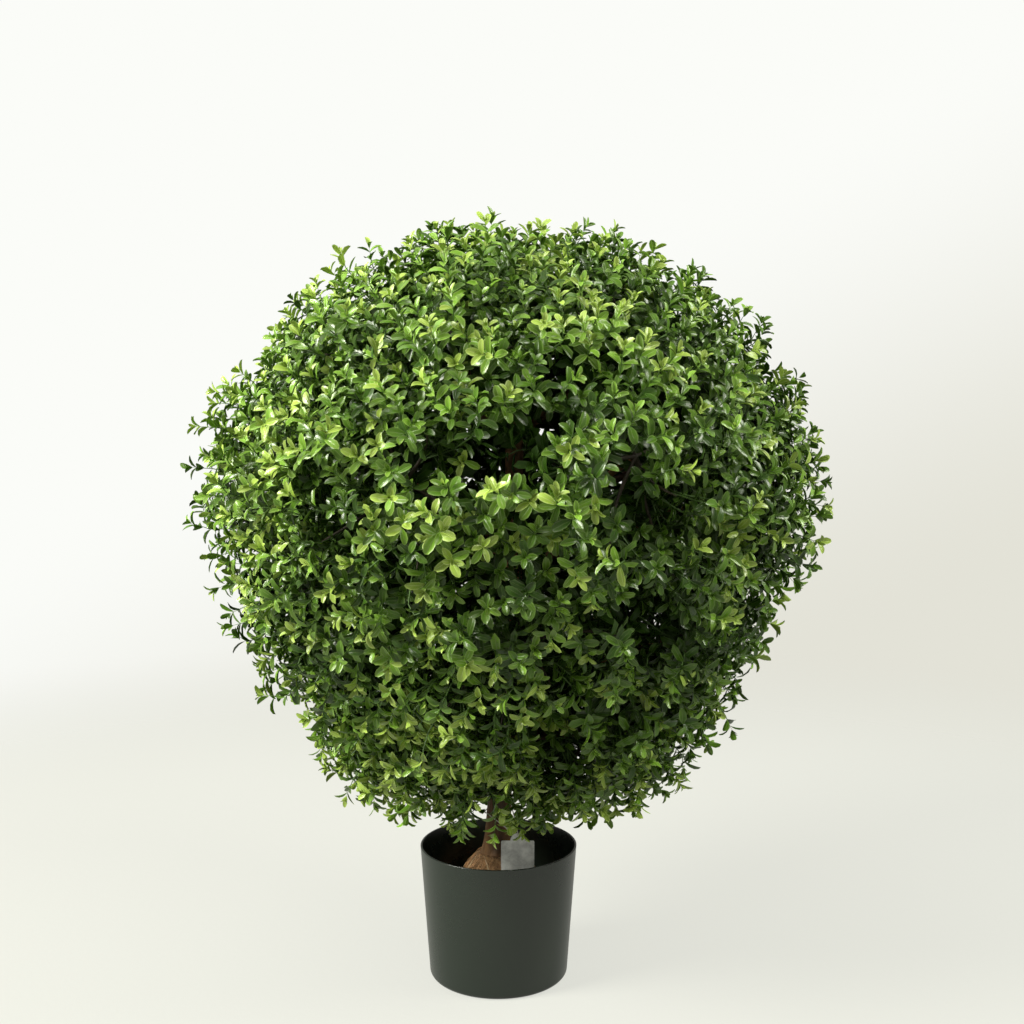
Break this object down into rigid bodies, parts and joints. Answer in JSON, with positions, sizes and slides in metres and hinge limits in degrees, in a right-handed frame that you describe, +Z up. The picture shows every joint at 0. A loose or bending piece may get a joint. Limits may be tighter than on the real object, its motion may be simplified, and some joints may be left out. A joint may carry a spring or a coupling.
{
  "type": "artificial box topiary ball",
  "caption": "Artificial boxwood ball of dense leafy sprays on a short leaning trunk, in a plain dark tapered plastic pot with a coir-covered fill.",
  "frame": {"origin": "centre of the pot's flat underside, on the surface that the pot stands on", "axes": "+Z up along the pot's axis, -Y towards the front as the plant was pictured, +X to the right of that view"},
  "size_m": [0.7587, 0.7454, 0.9473],
  "materials": {
    "pot": "satin",
    "fill": "matte",
    "trunk": "matte",
    "bough": "matte",
    "foliage": "satin",
    "tag": "matte",
    "thread": "matte"
  },
  "bodies": {
    "root": {"bough_foot_1": "bough", "bough_foot_2": "bough", "bough_foot_3": "bough", "bough_foot_4": "bough", "bough_lower_1": "bough", "bough_lower_2": "bough", "bough_lower_3": "bough", "bough_lower_4": "bough", "bough_lower_5": "bough", "bough_lower_6": "bough", "bough_middle_1": "bough", "bough_middle_2": "bough", "bough_middle_3": "bough", "bough_middle_4": "bough", "bough_middle_5": "bough", "bough_middle_6": "bough", "bough_middle_7": "bough", "bough_upper_1": "bough", "bough_upper_2": "bough", "bough_upper_3": "bough", "bough_upper_4": "bough", "bough_upper_5": "bough", "fill_mound": "fill", "foliage_crest": "foliage", "foliage_foot_1": "foliage", "foliage_foot_2": "foliage", "foliage_foot_3": "foliage", "foliage_foot_4": "foliage", "foliage_lower_1": "foliage", "foliage_lower_2": "foliage", "foliage_lower_3": "foliage", "foliage_lower_4": "foliage", "foliage_lower_5": "foliage", "foliage_lower_6": "foliage", "foliage_middle_1": "foliage", "foliage_middle_2": "foliage", "foliage_middle_3": "foliage", "foliage_middle_4": "foliage", "foliage_middle_5": "foliage", "foliage_middle_6": "foliage", "foliage_middle_7": "foliage", "foliage_upper_1": "foliage", "foliage_upper_2": "foliage", "foliage_upper_3": "foliage", "foliage_upper_4": "foliage", "foliage_upper_5": "foliage", "pot": "pot", "tag": "tag", "tag_thread": "thread", "trunk": "trunk"}
  },
  "joints": []
}
